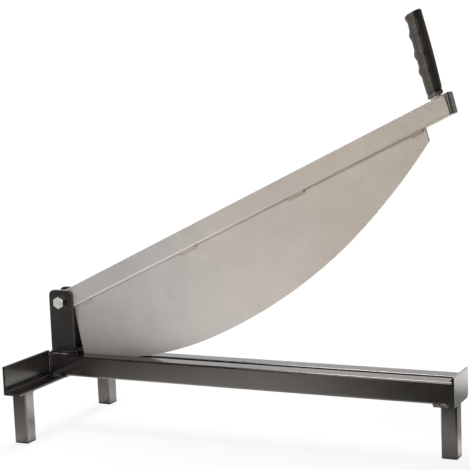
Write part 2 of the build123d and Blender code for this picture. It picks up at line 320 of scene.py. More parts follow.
# %% Backdrop
world = bpy.data.worlds.new("studio")
bpy.context.scene.world = world
world.use_nodes = True
tree = world.node_tree
camera_ray = add_node(tree, "ShaderNodeLightPath").outputs["Is Camera Ray"]
heading = split(tree, add_node(tree, "ShaderNodeTexCoord").outputs["Generated"])
backdrop = spread(tree, heading["Y"], -0.15, 0.25, 0.18, 1.05)
backdrop = dim(tree, backdrop, heading["Z"], 0.35, 0.65, 1.0, 0.14)
backdrop = dim(tree, backdrop, heading["X"], 0.30, 0.75, 1.0, 0.3)
strength = arithmetic(tree, "MAXIMUM", backdrop, camera_ray)
green = spread(tree, camera_ray, 0, 1, 0.985, 1.0)
blue = spread(tree, camera_ray, 0, 1, 0.97, 1.0)
colour = add_node(tree, "ShaderNodeCombineColor", {0: 1.0, 1: green, 2: blue}).outputs[0]
fill(tree, tree.nodes["Background"], {"Color": colour, "Strength": strength})
print("white backdrop behind the cutter")

# %% [markdown]
# ## Two softboxes
# A strip softbox hangs above and behind the hinge and lights the tops of the rails.  A wide one stands
# in front, higher than the camera, and opens up the blade.  A point lamp would leave hard shadows and
# hot spots, so both are area lamps, and the camera doesn't see them.

# %% Softboxes
lamp_colour = (1.0, 0.98, 0.955)


def softbox(name, place, aim, width, height, watts):
    lamp = bpy.data.lights.new(name, "AREA")
    lamp.shape = "RECTANGLE"
    lamp.size = width
    lamp.size_y = height
    lamp.energy = watts
    lamp.color = lamp_colour
    holder = bpy.data.objects.new(name, lamp)
    holder.location = place
    holder.rotation_euler = (Vector(aim) - Vector(place)).to_track_quat("-Z", "Y").to_euler()
    holder.visible_camera = False
    bpy.context.scene.collection.objects.link(holder)
    print(name, width, "x", height, "m,", watts, "W")


softbox("overhead_softbox", (-0.38, 0.48, 1.6), (-0.38, 0.48, 0), 0.56, 1.2, 26)
softbox("front_softbox", (0.0, -2.3, 1.2), (-0.05, 0.0, 0.22), 1.6, 1.2, 36)

# %% [markdown]
# ## Helpers for finishes
# Real surfaces vary at several scales at once: clouds, streaks, grain.  Pictures of such surfaces could
# be wrapped round the pieces, but they stretch and repeat.  Noise in the object's own space fits every
# piece, so four helpers start a finish, make noise, mix two colours and raise a bump.

# %% Helpers for finishes
def new_finish(name):
    """A material with its graph, its shader and the place of each point on the object."""
    material = bpy.data.materials.new(name)
    material.use_nodes = True
    tree = material.node_tree
    place = add_node(tree, "ShaderNodeTexCoord").outputs["Object"]
    return material, tree, tree.nodes["Principled BSDF"], place


def mottle(tree, place, scale, detail=3.0):
    """Noise whose patches are about 1 / scale metres wide."""
    sockets = {"Vector": place, "Scale": scale, "Detail": detail}
    return add_node(tree, "ShaderNodeTexNoise", sockets).outputs["Fac"]


def tint(tree, share, first, second):
    """Mix two colours; each is either an output or red, green and blue."""
    first, second = (c if isinstance(c, bpy.types.NodeSocket) else (*c, 1) for c in (first, second))
    return add_node(tree, "ShaderNodeMix", {0: share, 6: first, 7: second}, data_type="RGBA").outputs[2]


def roughen(tree, shader, height, strength, depth):
    bump = add_node(tree, "ShaderNodeBump", {"Height": height, "Strength": strength, "Distance": depth})
    fill(tree, shader, {"Normal": bump.outputs["Normal"]})


print("finish helpers ready")

# %% [markdown]
# ## Black paint
# The bed is sprayed a semi-gloss black.  Sprayed paint is never a mirror: it has a fine orange-peel
# skin, patches that dried a little duller, and dust.  One flat glossy black would look like wet
# plastic, so noise at four scales gives the tint, the dust, the dullness and the skin.
# The beads at the far end are painted lighter, as dust and as painted highlights on their lumps; the cross angle
# is a little duller, and its beads duller still.

# %% Black paint
paint_dark = (0.0080, 0.0070, 0.0062)
paint_light = (0.0120, 0.0105, 0.0094)
dust_colour = (0.06, 0.057, 0.054)
paint_gloss = (1.0, 0.955, 0.935, 1)
paint_index = 1.85


def make_black_paint(name, dust_from=0.70, dust_to=0.80, dust_share=0.5, shine=0.5, wear_and_painted_light=None):
    """Black paint; dust settles where fine noise rises from dust_from to dust_to."""
    material, tree, shader, place = new_finish(name)
    cloud = spread(tree, mottle(tree, place, 14), 0.35, 0.65, 0.0, 1.0)
    dust = spread(tree, mottle(tree, place, 900, 1.0), dust_from, dust_to, 0.0, dust_share)
    colour = tint(tree, dust, tint(tree, cloud, paint_dark, paint_light), dust_colour)
    dull = spread(tree, mottle(tree, place, 55, 4.0), 0.3, 0.7, 0.16, 0.22)
    coat = {"Base Color": colour, "Roughness": dull, "IOR": paint_index, "Specular IOR Level": shine,
            "Specular Tint": paint_gloss}
    if wear_and_painted_light:
        coat.update(wear_and_painted_light(tree, place, colour))
    fill(tree, shader, coat)
    roughen(tree, shader, mottle(tree, place, 700, 2.0), 0.03, 0.0002)
    print(name, "with shine", shine)
    return material


black_paint = make_black_paint("black_paint")
# the end beads are painted lighter: dust and painted highlights on their lumps
dust_and_highlight_paint = make_black_paint("dust_and_highlight_paint", dust_from=0.40, dust_to=0.62, dust_share=1.0)
dull_paint = make_black_paint("dull_paint", shine=0.38)
bead_paint = make_black_paint("bead_paint", shine=0.20)

# %% [markdown]
# ## Painted highlights and matt slot on the rails
# Slates slide over the rails, and the blade passes between them.  The rounded edges get a painted
# highlight towards the far end, and the edges of the slot have lost their gloss.  Such edges can be
# painted by hand; here the slope of the surface finds the rounded edges, and the distance from the
# middle of the bed finds the slot.

# %% Painted highlights and matt slot on the rails
painted_highlight_colour = (0.36, 0.35, 0.345)
slot_half = -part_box("front_rail")[1].y


def wear_and_highlight_rails(tree, place, paint):
    """Matt edges along the slot, and a painted highlight on the rounded edges towards the far end."""
    along_bed, depth, _ = split(tree, place)
    gloss = spread(tree, unsigned(tree, depth), slot_half + 0.0004, slot_half + 0.0013, 0.03, 0.5)
    slope = split(tree, add_node(tree, "ShaderNodeNewGeometry").outputs["Normal"])["Z"]
    # painted highlight on the rounded edges, stronger towards the far end
    rub_and_highlight = dim(tree, spread(tree, slope, 0.60, 0.72, 0.0, 1.0), slope, 0.90, 0.98, 1.0, 0.0)
    rub_and_highlight = dim(tree, rub_and_highlight, along_bed, 0.05, 0.15, 0.0, 0.6)
    return {"Base Color": tint(tree, rub_and_highlight, paint, painted_highlight_colour), "Specular IOR Level": gloss}


rail_paint = make_black_paint("rail_paint", wear_and_painted_light=wear_and_highlight_rails)

# %% [markdown]
# ## Directions of the arm
# The streaks of the steel, the stitch welds, the grip and the cap all follow the arm, which stands up
# at an angle.  Each could be turned by itself, but then nothing lines up when the angle changes.
# So the hinge is taken from the frame's joint, and the arm's own directions are worked out once.

# %% Directions of the arm
pivot = Vector(frame["joints"][0]["pos_m"])
arm_rise = math.radians(25.2)
arm_along = Vector((math.cos(arm_rise), 0, math.sin(arm_rise)))
arm_up = Vector((-math.sin(arm_rise), 0, math.cos(arm_rise)))
arm_half_height = 0.0155
arm_reach = 0.7343
stitch_welds = [(0.030, 0.017), (0.234, 0.034), (0.444, 0.032), (0.662, 0.022)]
print("arm", arm_reach, "m long,", len(stitch_welds), "stitch welds on each side")

# %% [markdown]
# ## Tone of the sheet steel
# The arm and the blade are plain sheet steel, dull from the mill.  Rolling leaves cloudy patches and
# faint streaks along the sheet.  In the photograph the heel and the far end are darker, the belly is
# lighter, the cut end of the tube is dark, and the rod under the grip is light.  Here the heel and the
# far end get painted shade, the belly painted light and the rod a painted highlight.
# Lamps could be aimed at each place, but they would spoil the rest, so the zones are in the steel.

# %% Tone of the sheet steel
heel = (0.02, 0, -0.15)
belly = (0.30, 0, -0.15)


def steel_tone(tree, place, turned, stretched):
    """How light the sheet is, with painted light and shade; turned holds the directions of the arm, stretched the
    streaks.
    """
    along_arm, _, above = split(tree, turned)
    level = spread(tree, mottle(tree, place, 22, 5.0), 0.3, 0.7, 0.97, 1.03)
    # painted shade at the heel and towards the grip, painted light on the belly, painted highlight on the rod
    return dim_by_all(tree, level, {
        "streaks from the rolls": (mottle(tree, stretched, 4, 4.0), 0.25, 0.75, 1.01, 0.96),
        "painted shade towards the grip": (along_arm, 0.55, 0.74, 1.0, 0.84),
        "painted shade at the heel": (measure(tree, "DISTANCE", turned, heel), 0.03, 0.17, 0.78, 1.0),
        "painted light on the belly": (measure(tree, "DISTANCE", turned, belly), 0.02, 0.25, 1.16, 1.0),
        "dark cut end of the tube": (along_arm, arm_reach - 0.0016, arm_reach - 0.0004, 1.0, 0.55),
        "painted highlight on the rod above the arm": (above, arm_half_height, arm_half_height + 0.0005, 1.0, 1.7)})


print("steel tones round the heel at", heel, "and the belly at", belly)

# %% [markdown]
# ## Painted edge highlight and heat stains
# Near the hinge the lower edge of the arm gets a painted highlight, and the strip of blade under it a
# fainter painted light.  Each stitch weld leaves a straw-brown stain.  Both follow the arm, so they use
# the distance below it and along it; a colour ramp with a raised stretch for each weld switches the
# stain on and off.

# %% Painted edge highlight and heat stains
ramp_length = 0.8
stain_reach = 0.004


def painted_edge_highlight(tree, along_arm, below):
    """How much lighter the painted highlight makes the lower edge of the arm and the blade just under it."""
    edge = dim(tree, spread(tree, below, -0.0034, -0.0008, 0.0, 0.5), below, -0.0002, 0.0001, 1.0, 0.0)
    strip = dim(tree, spread(tree, below, 0.0, 0.0002, 0.0, 0.12), below, 0.002, 0.006, 1.0, 0.0)
    return dim(tree, arithmetic(tree, "ADD", edge, strip), along_arm, 0.05, 0.55, 1.0, 0.0)


def heat_stain(tree, along_arm, below):
    """How brown the blade is beside each stitch weld."""
    share = arithmetic(tree, "DIVIDE", along_arm, ramp_length)
    stain = add_node(tree, "ShaderNodeValToRGB", {"Fac": share})
    steps = stain.color_ramp.elements
    steps[0].color = steps[1].color = (0, 0, 0, 1)
    for start, run in stitch_welds:
        end = start + run
        for stop, level in ((start - stain_reach, 0), (start, 1), (end, 1), (end + stain_reach, 0)):
            steps.new(stop / ramp_length).color = (level, level, level, 1)
    stain = dim(tree, stain.outputs["Color"], below, 0.003, 0.010, 0.35, 0)
    return dim(tree, stain, below, 0.0, 0.001, 0, 1)


print("stains reach", stain_reach * 1000, "mm past each weld")

# %% [markdown]
# ## Satin steel
# The sheet is greyer near the hinge and warmer towards the grip.  Fully metallic, it would mirror the
# studio and lose its satin look, so it is only partly metallic and rather rough, and its streaks are
# stretched along the arm, in the colour and in the bump alike.

# %% Satin steel
grey_sheet = (0.424, 0.401, 0.388)
warm_sheet = (0.436, 0.390, 0.345)
straw_brown = (0.26, 0.215, 0.165)
streak_stretch = (6, 160, 160)
share_of_metal = 0.35


def make_satin_steel():
    material, tree, shader, place = new_finish("satin_steel")
    from_pivot = join(tree, "SUBTRACT", place, pivot)
    turn_level = {"Vector": from_pivot, "Rotation": (0, arm_rise, 0)}
    turned = add_node(tree, "ShaderNodeMapping", turn_level).outputs[0]
    stretched = join(tree, "MULTIPLY", turned, streak_stretch)
    along_arm, _, above = split(tree, turned)
    below = arithmetic(tree, "SUBTRACT", -arm_half_height, above)
    # painted highlight on the lower edge of the arm and the blade just under it
    rub_and_highlight = arithmetic(tree, "ADD", painted_edge_highlight(tree, along_arm, below), 1.0)
    level = arithmetic(tree, "MULTIPLY", steel_tone(tree, place, turned, stretched), rub_and_highlight)
    sheet = tint(tree, spread(tree, along_arm, 0.15, 0.60, 0, 1), grey_sheet, warm_sheet)
    sheet = add_node(tree, "ShaderNodeVectorMath", {0: sheet, "Scale": level}, operation="SCALE").outputs[0]
    colour = tint(tree, heat_stain(tree, along_arm, below), sheet, straw_brown)
    dull = spread(tree, mottle(tree, place, 60, 4.0), 0.3, 0.7, 0.46, 0.58)
    fill(tree, shader, {"Base Color": colour, "Roughness": dull, "Metallic": share_of_metal})
    roughen(tree, shader, mottle(tree, stretched, 30, 3.0), 0.10, 0.0001)
    return material


satin_steel = make_satin_steel()
print("satin steel streaked along the arm")

# %% [markdown]
# ## Zinc plate
# Bolts and nuts are zinc plated: bright and slightly cloudy.  The faces of the hexagons are matt and
# pale, while their sides mirror the dark posts and room; the sides that look up are painted dark, as
# painted shade.  One shiny metal would make the whole head sparkle, so the direction of each face sets
# its colour and gloss.

# %% Zinc plate
zinc_dark = (0.50, 0.50, 0.49)
zinc_light = (0.60, 0.60, 0.59)
level_side = (0.62, 0.61, 0.60)
painted_shade_upper_side = (0.12, 0.12, 0.116)


def make_zinc_plate():
    material, tree, shader, place = new_finish("zinc_plate_finish")
    _, facing, upward = split(tree, add_node(tree, "ShaderNodeNewGeometry").outputs["Normal"])
    facing = unsigned(tree, facing)
    cloud = spread(tree, mottle(tree, place, 260, 4.0), 0.3, 0.7, 0, 1)
    # the sides that look up are painted dark: painted shade
    sides = tint(tree, spread(tree, upward, 0.1, 0.4, 0.0, 1.0), level_side, painted_shade_upper_side)
    flat = spread(tree, facing, 0.80, 0.90, 0.0, 1.0)
    colour = tint(tree, flat, sides, tint(tree, cloud, zinc_dark, zinc_light))
    dull = spread(tree, mottle(tree, place, 700, 3.0), 0.3, 0.7, 0.20, 0.30)
    dull = arithmetic(tree, "ADD", dull, spread(tree, facing, 0.80, 0.90, 0.0, 0.22))
    metal = spread(tree, facing, 0.80, 0.90, 1.0, 0.5)
    fill(tree, shader, {"Base Color": colour, "Roughness": dull, "Metallic": metal})
    roughen(tree, shader, mottle(tree, place, 1500, 2.0), 0.12, 0.0001)
    return material


zinc_plate = make_zinc_plate()
print("zinc plate ready")

# %% [markdown]
# ## Moulded plastic
# The feet are moulded black plastic: cloudy at the scale of a fingertip, with a fine grain from the
# mould.  The cap and the grip are moulded too, so one function makes all three, and a helper of their
# own adds the cap's wear and the grip's painted light.

# %% Moulded plastic
def make_moulded(name, dark, light, dull, patches=70, grain=1400, shine=0.5, gloss=(1.0, 0.955, 0.92, 1),
                 wear_and_painted_light=None):
    """Black plastic or rubber; patches and grain are the scales of its clouds and grain."""
    material, tree, shader, place = new_finish(name)
    colour = tint(tree, spread(tree, mottle(tree, place, patches), 0.3, 0.7, 0, 1), dark, light)
    if wear_and_painted_light:
        colour = wear_and_painted_light(tree, place, colour)
    dull = spread(tree, mottle(tree, place, 180), 0.3, 0.7, *dull)
    fill(tree, shader, {"Base Color": colour, "Roughness": dull, "Specular IOR Level": shine,
                        "Specular Tint": gloss})
    roughen(tree, shader, mottle(tree, place, grain, 2.0), 0.12, 0.00015)
    print(name, "with grain", round(1000 / grain, 2), "mm")
    return material


black_plastic = make_moulded("moulded_plastic", (0.012, 0.0115, 0.011), (0.020, 0.019, 0.018), (0.30, 0.42))

# %% [markdown]
# ## Painted light on the rubber grip
# The grip is brown-black rubber.  Its colour carries painted light: a painted highlight on the mould
# line down each side, painted light on the finger half up to it, painted shade that makes the rubber
# just behind it darkest, and a painted reflection of the arm on the lower half of the collar.
# A painted mask would do, but distances from the foot of the handle follow the grip by themselves.

# %% Painted light on the rubber grip
handle_inset = 0.014
lean = math.radians(10.8)
handle_up = Vector((-math.sin(arm_rise - lean), 0, math.cos(arm_rise - lean)))
fingerward = front.cross(handle_up)
grip_foot = pivot + arm_along * (arm_reach - handle_inset) + arm_up * arm_half_height
mould_line_side = -0.0020


def paint_light_on_grip(tree, place, rubber):
    from_foot = join(tree, "SUBTRACT", place, grip_foot)
    side = measure(tree, "DOT_PRODUCT", from_foot, fingerward)
    lift = measure(tree, "DOT_PRODUCT", from_foot, arm_up)
    from_line = arithmetic(tree, "SUBTRACT", side, mould_line_side)
    # painted shade on the rubber just behind the mould line
    painted_shade_behind_line = spread(tree, from_line, -0.009, -0.002, 0.0, 1.0)
    rubber = tint(tree, painted_shade_behind_line, rubber, (0.0040, 0.0030, 0.0022))
    # painted light on the finger half
    painted_light_on_fingers = spread(tree, from_line, -0.0012, -0.0004, 0.0, 1.0)
    painted_light_on_fingers = dim(tree, painted_light_on_fingers, mottle(tree, place, 240, 4.0), 0.3, 0.7, 0.75, 1.0)
    rubber = tint(tree, painted_light_on_fingers, rubber, (0.050, 0.0465, 0.0430))
    # painted highlight along the mould line
    painted_highlight_on_line = spread(tree, unsigned(tree, from_line), 0.0004, 0.0012, 0.9, 0.0)
    rubber = tint(tree, painted_highlight_on_line, rubber, (0.085, 0.070, 0.058))
    # painted reflection of the arm on the lower half of the collar
    painted_collar_reflection = spread(tree, lift, 0.0058, 0.0068, 1.0, 0.0)
    painted_collar_reflection = dim(tree, painted_collar_reflection, mottle(tree, place, 500, 4.0), 0.3, 0.7, 0.6, 1.0)
    return tint(tree, painted_collar_reflection, rubber, (0.105, 0.088, 0.073))


grip_rubber = make_moulded("painted_light_rubber", (0.0190, 0.0140, 0.0105), (0.0250, 0.0185, 0.0140), (0.42, 0.52),
                           patches=90, grain=1800, gloss=(1.0, 0.91, 0.83, 1), wear_and_painted_light=paint_light_on_grip)

# %% [markdown]
# ## Putting the finishes on
# The record says which finish each CAD piece takes, so a loop hands them out.  By hand, 26 pieces
# would be easy to get wrong.  Only the rails and the cross angle get a paint of their own.

# %% Hand out the finishes
finishes = {"frame_paint": black_paint, "bare_steel": satin_steel, "zinc_plate": zinc_plate,
            "black_plastic": black_plastic, "grip_rubber": grip_rubber}
own_paint = {"front_rail": rail_paint, "rear_rail": rail_paint, "cross_angle": dull_paint}
for subpart in frame["record"]["subparts"]:
    name = subpart["node"]
    data = frame["nodes"][name].data
    data.materials.clear()
    data.materials.append(own_paint.get(name, finishes[subpart["material_slot"]]))

# %% [markdown]
# ## Mesh helpers
# The pieces below are skins stretched over rings of points, the way a hull is planked over frames.
# Modifiers could bend and bevel ready-made blocks, but rings say exactly where each edge lies.
# One helper stretches the skin and closes its ends, and one turns the result into a piece that rides
# on a body of the frame and stands for a CAD node.

# %% Mesh helpers
def skin(mesh, rings, closed=True):
    """Stretch quads between rings of equally many points; a closed skin has its two ends capped."""
    rows = [[mesh.verts.new(point) for point in ring] for ring in rings]
    count = len(rows[0])
    for row, following in zip(rows, rows[1:]):
        for i in range(count):
            j = (i + 1) % count
            mesh.faces.new((row[i], row[j], following[j], following[i]))
    if closed:
        mesh.faces.new(reversed(rows[0]))
        mesh.faces.new(rows[-1])


def finish_piece(mesh, name, body, slot, stands_for, sharp_degrees=35, finish=None):
    """Turn the mesh into a piece that stands for a CAD node, in its slot's finish or its own."""
    bmesh.ops.recalc_face_normals(mesh, faces=mesh.faces)
    data = bpy.data.meshes.new(name)
    mesh.to_mesh(data)
    mesh.free()
    data.shade_smooth()
    data.set_sharp_from_angle(angle=math.radians(sharp_degrees))
    data.materials.append(finish or finishes[slot])
    piece = bpy.data.objects.new(name, data)
    bpy.context.scene.collection.objects.link(piece)
    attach(piece, body)
    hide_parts(stands_for)
    print(name, len(data.polygons), "faces, stands for", stands_for)


print("mesh helpers ready")

# %% [markdown]
# ## Cross-sections of a weld bead
# A bead in a corner fills it with a slightly crowned triangle.  A bead on a flush seam stands out of
# the face as half an ellipse.  Both could be drawn point by point, but a power of the sine and cosine
# gives the crown in one line, and the same number of points lets any bead be skinned alike.

# %% Cross-sections of a bead
outline_points = 9
crown = 1.4


def corner_outline(leg):
    """From one toe of a bead in a corner to the other."""
    turns = [math.pi / 2 * i / (outline_points - 1) for i in range(outline_points)]
    return [(leg * max(0.0, math.cos(t)) ** crown, leg * math.sin(t) ** crown) for t in turns]


def seam_outline(half_width, depth):
    """From one toe of a bead on a flush seam to the other."""
    turns = [math.pi * i / (outline_points - 1) for i in range(outline_points)]
    return [(depth * math.sin(t), half_width * math.cos(t)) for t in turns]


print("bead outlines of", outline_points, "points")

# %% [markdown]
# ## How a bead is laid
# A weld is a row of small puddles that froze one after another, so its skin has curved ripples, its
# width wanders and its ends are blunt.  A smooth rod with a bump would miss that in its outline, so
# each bead is a skin over many small cross-sections.  The ripples trail at the toes of the bead,
# because the middle of a puddle freezes last.

# %% How a bead is laid
ripple_pitch = 0.0023
ripple_height = 0.07
ripple_trail = 0.5
ring_step = 0.0006
fewest_steps = 8
sink = 0.0003
blunt_share = 0.8
end_size = 0.35
start_spread = 37


def lay_bead(mesh, start, end, first, second, outline, square_start=False, unsteady=0.10, lumps=160):
    """One bead from start to end, spreading along first and second, with blunt ends."""
    start, end, first, second = (Vector(v) for v in (start, end, first, second))
    along = (end - start).normalized()
    length = (end - start).length
    blunt = blunt_share * max(max(pair) for pair in outline)
    count = max(fewest_steps, round(length / ring_step))
    rings = []
    for i in range(count + 1):
        run = length * i / count
        from_end = length - run if square_start else min(run, length - run)
        from_end = min(1.0, max(0.0, from_end) / blunt)
        taper = end_size + (1 - end_size) * math.sqrt(1 - (1 - from_end) ** 2)
        wander = noise.noise(start * start_spread + along * run * lumps) * unsteady
        ring = [start + along * run - (first + second) * sink]
        for j, (a, b) in enumerate(outline):
            trail = (2 * j / (outline_points - 1) - 1) ** 2 * ripple_trail
            ripple = math.sin(2 * math.pi * (run / ripple_pitch + trail)) * ripple_height
            ring.append(start + along * run + (first * a + second * b) * taper * (1 + wander + ripple))
        rings.append(ring)
    skin(mesh, rings)


print("bead step", ring_step * 1000, "mm")

# %% [markdown]
# ## Beads at the feet of the posts
# Each post stands on its rail between two beads, one outside and one inside.  Their places could be
# typed in, but they come from the boxes of the pieces that they join, so they always fit.

# %% Post beads
post_leg = 0.006

post_beads = bmesh.new()
for post in ("front_post", "rear_post"):
    low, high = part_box(post)
    for y, side in ((low.y, front), (high.y, rear)):
        ends = (low.x, y, low.z), (high.x, y, low.z)
        lay_bead(post_beads, *ends, side, up, corner_outline(post_leg), square_start=True)
finish_piece(post_beads, "post_weld_beads", "bed", "frame_paint", "post_welds")

# %% [markdown]
# ## Beads at the cross angle
# The rails run through a gap in the web of the cross angle.  A bead closes each side of the gap, up to
# just under the top of the web, another lies along the flange, and a third under each rail.

# %% Cross angle beads
weld_leg = 0.004
angle_thickness = 0.004
angle_root = 0.004
tube_radius = 0.003
web_top_gap = 0.002

rail_low, rail_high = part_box("front_rail")
bed_front = rail_low.y
rail_middle = (rail_low.y + rail_high.y) / 2
under_half = (rail_high.y - rail_low.y) / 2 - tube_radius
cross_low, cross_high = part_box("cross_angle")
web_face = cross_low.x + angle_thickness
fillet = corner_outline(weld_leg)

cross_beads = bmesh.new()
for y, side in ((bed_front, front), (-bed_front, rear)):
    ends = (web_face, y, rail_low.z + angle_root), (web_face, y, cross_high.z - web_top_gap)
    lay_bead(cross_beads, *ends, side, right_way, fillet)
    ends = (web_face + angle_root, y, rail_low.z), (cross_high.x - tube_radius, y, rail_low.z)
    lay_bead(cross_beads, *ends, side, up, fillet)
for y in (rail_middle, -rail_middle):
    ends = (cross_high.x, y - under_half, rail_low.z), (cross_high.x, y + under_half, rail_low.z)
    lay_bead(cross_beads, *ends, right_way, -up, fillet)
finish_piece(cross_beads, "cross_angle_weld_beads", "bed", "frame_paint", "cross_angle_welds",
             finish=bead_paint)

# %% [markdown]
# ## Beads at the end angle
# The end plate is welded across the tops of the rails and under them.  Along the front, where its
# flange is flush with the rail, the welder built up a rough, lumpy seam, so this bead is much less
# steady than the others.  All these beads are painted lighter, as dust and as painted highlights on
# their lumps.

# %% End angle beads
seam_half_width = 0.0030
seam_depth = 0.0014

end_low, end_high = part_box("end_angle")
plate_face = end_high.x - angle_thickness

end_beads = bmesh.new()
for y in (rail_middle, -rail_middle):
    ends = (end_low.x, y - under_half, rail_low.z), (end_low.x, y + under_half, rail_low.z)
    lay_bead(end_beads, *ends, -right_way, -up, fillet)
    ends = (plate_face, y - under_half, rail_high.z), (plate_face, y + under_half, rail_high.z)
    lay_bead(end_beads, *ends, -right_way, up, fillet)
ends = (end_low.x + sink, bed_front, rail_low.z), (plate_face - angle_root, bed_front, rail_low.z)
lay_bead(end_beads, *ends, front, up, seam_outline(seam_half_width, seam_depth), unsteady=0.9, lumps=420)
finish_piece(end_beads, "end_angle_weld_beads", "bed", "frame_paint", "end_angle_welds",
             finish=dust_and_highlight_paint)

# %% [markdown]
# ## Beads round the legs
# Each leg is welded to the angle above it on three faces: front, rear and the one that isn't flush
# with the end of the bed.  A loop over the legs finds that face from the side on which the leg stands.

# %% Leg beads
leg_beads = bmesh.new()
for leg in ("front_left_leg", "rear_left_leg", "right_leg"):
    low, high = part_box(leg)
    for y, side in ((low.y, front), (high.y, rear)):
        ends = (low.x + tube_radius, y, high.z), (high.x - tube_radius, y, high.z)
        lay_bead(leg_beads, *ends, side, -up, fillet)
    free, side = (low.x, -right_way) if low.x > 0 else (high.x, right_way)
    ends = (free, low.y + tube_radius, high.z), (free, high.y - tube_radius, high.z)
    lay_bead(leg_beads, *ends, side, -up, fillet)
finish_piece(leg_beads, "leg_weld_beads", "bed", "frame_paint", "leg_welds")

# %% [markdown]
# ## Stitch welds on the blade
# The blade hangs from the arm on four short stitches a side.  They stay unpainted, so they take the
# steel's finish with its heat stains, and they ride on the arm.

# %% Stitch welds
stitch_leg = 0.005
blade_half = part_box("blade")[1].y

stitch_beads = bmesh.new()
for start, run in stitch_welds:
    for side in (front, rear):
        root = pivot + arm_along * start - arm_up * arm_half_height + side * blade_half
        lay_bead(stitch_beads, root, root + arm_along * run, side, -arm_up, corner_outline(stitch_leg))
finish_piece(stitch_beads, "blade_stitch_beads", "arm", "bare_steel", "blade_welds")

# %% [markdown]
# ## Hexagons
# A hexagon head is a prism whose corners were turned off by a cone, which leaves the curved edges
# between the flats and the round top.  A cut with a cone would give that too, with long thin faces.
# Working in rings round the axis gives it for free: each point is as far out as the hexagon allows,
# and as high as the cone allows.

# %% Hexagons
round_points = 72
head_cone = math.tan(math.radians(25))
hex_flats = 0.018


def ring_round(centre, axis, reach):
    """Points round an axis; reach gives the distance out and the height along it for each turn."""
    second = axis.cross(right_way)
    points = []
    for i in range(round_points):
        turn = 2 * math.pi * i / round_points
        out, height = reach(turn)
        points.append(centre + (right_way * math.cos(turn) + second * math.sin(turn)) * out + axis * height)
    return points


def plain_ring(centre, axis, out, height):
    return ring_round(centre, axis, lambda turn: (out, height))


def hexagon_reach(turn):
    """Distance from the axis to the hexagon's side in a direction; corners point up and down."""
    within = (turn + math.pi / 6) % (math.pi / 3) - math.pi / 6
    return hex_flats / 2 / math.cos(within)


def hexagon_rings(centre, axis, height, face):
    """Rings from the seat of a hexagon up over the coned corners to its round top face."""
    def corner(turn):
        out = hexagon_reach(turn)
        return out, height - max(0.0, out - face) * head_cone

    return [ring_round(centre, axis, lambda turn: (hexagon_reach(turn), 0.0)),
            ring_round(centre, axis, corner), plain_ring(centre, axis, face, height)]


print("hexagon rings of", round_points, "points")

# %% [markdown]
# ## The hinge bolt
# The bolt has a slightly dished hexagon head, a plain shank through the posts and the arm, and a
# thread that starts just before the nut.  A real thread could be swept along a helix, but rings whose
# radius follows a wave that climbs one pitch per turn close cleanly at both ends.

# %% Hinge bolt
bolt_radius = 0.006
head_height = 0.0075
head_face = 0.93 * hex_flats / 2
dish_radius = 0.38 * hex_flats
dish_depth = 0.0003
thread_pitch = 0.00175
thread_depth = 0.00085
thread_steps = 8
thread_lead = 0.003
tip_bevel = 0.0007

bolt_low, bolt_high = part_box("pivot_bolt")
nut_low, nut_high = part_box("pivot_nut")
head_seat = Vector((pivot.x, bolt_low.y + head_height, pivot.z))
shank_length = bolt_high.y - head_seat.y
thread_start = nut_low.y - head_seat.y - thread_lead


def thread_ring(height):
    """A ring of the thread, narrower at the tip of the bolt."""
    bevel = tip_bevel * (1 - min(1.0, (shank_length - height) / thread_pitch))

    def reach(turn):
        wave = abs((height / thread_pitch - turn / (2 * math.pi)) % 1 * 2 - 1)
        return bolt_radius - thread_depth * (1 - wave) - bevel, height

    return ring_round(head_seat, rear, reach)


bolt = bmesh.new()
dish = plain_ring(head_seat, front, dish_radius, head_height - dish_depth)
skin(bolt, hexagon_rings(head_seat, front, head_height, head_face) + [dish])
steps = round((shank_length - thread_start) / thread_pitch * thread_steps)
threads = [thread_ring(thread_start + (shank_length - thread_start) * i / steps) for i in range(steps + 1)]
skin(bolt, [plain_ring(head_seat, rear, bolt_radius, 0.0)] + threads)
finish_piece(bolt, "hinge_bolt", "bed", "zinc_plate", "pivot_bolt")

# %% [markdown]
# ## The self-locking nut
# A self-locking nut pinches the bolt with a ring inside a round collar, and so holds the arm wherever
# it is put.  The hexagon is made as on the bolt.  The skin then goes over the collar, down the bore and
# back to its first ring, so it needs no caps.

# %% Self-locking nut
nut_height = 0.009
nut_face = 0.97 * hex_flats / 2
collar_radius = 0.00825
collar_bevel = 0.0008
bore_radius = bolt_radius + 0.0001
bore_bevel = 0.0007

nut_seat = Vector((pivot.x, nut_low.y, pivot.z))
collar_top = nut_high.y - nut_low.y
collar_outline = [(collar_radius, nut_height), (collar_radius, collar_top - collar_bevel),
                  (collar_radius - collar_bevel, collar_top), (bore_radius + bore_bevel, collar_top),
                  (bore_radius, collar_top - bore_bevel), (bore_radius, 0.0)]

nut = bmesh.new()
nut_rings = hexagon_rings(nut_seat, rear, nut_height, nut_face)
nut_rings += [plain_ring(nut_seat, rear, out, height) for out, height in collar_outline]
skin(nut, nut_rings + nut_rings[:1], closed=False)
bmesh.ops.remove_doubles(nut, verts=nut.verts, dist=1e-6)
finish_piece(nut, "self_locking_nut", "bed", "zinc_plate", "pivot_nut")

# %% [markdown]
# ## Rings of the finger grip
# The grip is moulded rubber pushed over a rod: slightly bowed, with four ridges between the fingers,
# fine flutes along it, and a raised line on each side where the mould closed.  Sculpting would leave
# it uneven.  Here every ring is a circle that swells towards the fingers, and the flutes are a wave on
# the distance from its middle.

# %% Rings of the finger grip
grip_top = 0.1257
grip_radius = 0.012
grip_bow = 0.001
groove_top = 0.0104
finger_ridges = [0.0435, 0.068, 0.096, 0.122]
ridge_height = 0.0023
ridge_half_width = 0.009
flutes = 28
flute_depth = 0.0003
mould_line = 0.0004
mould_line_width = 0.07
grip_points = flutes * 6


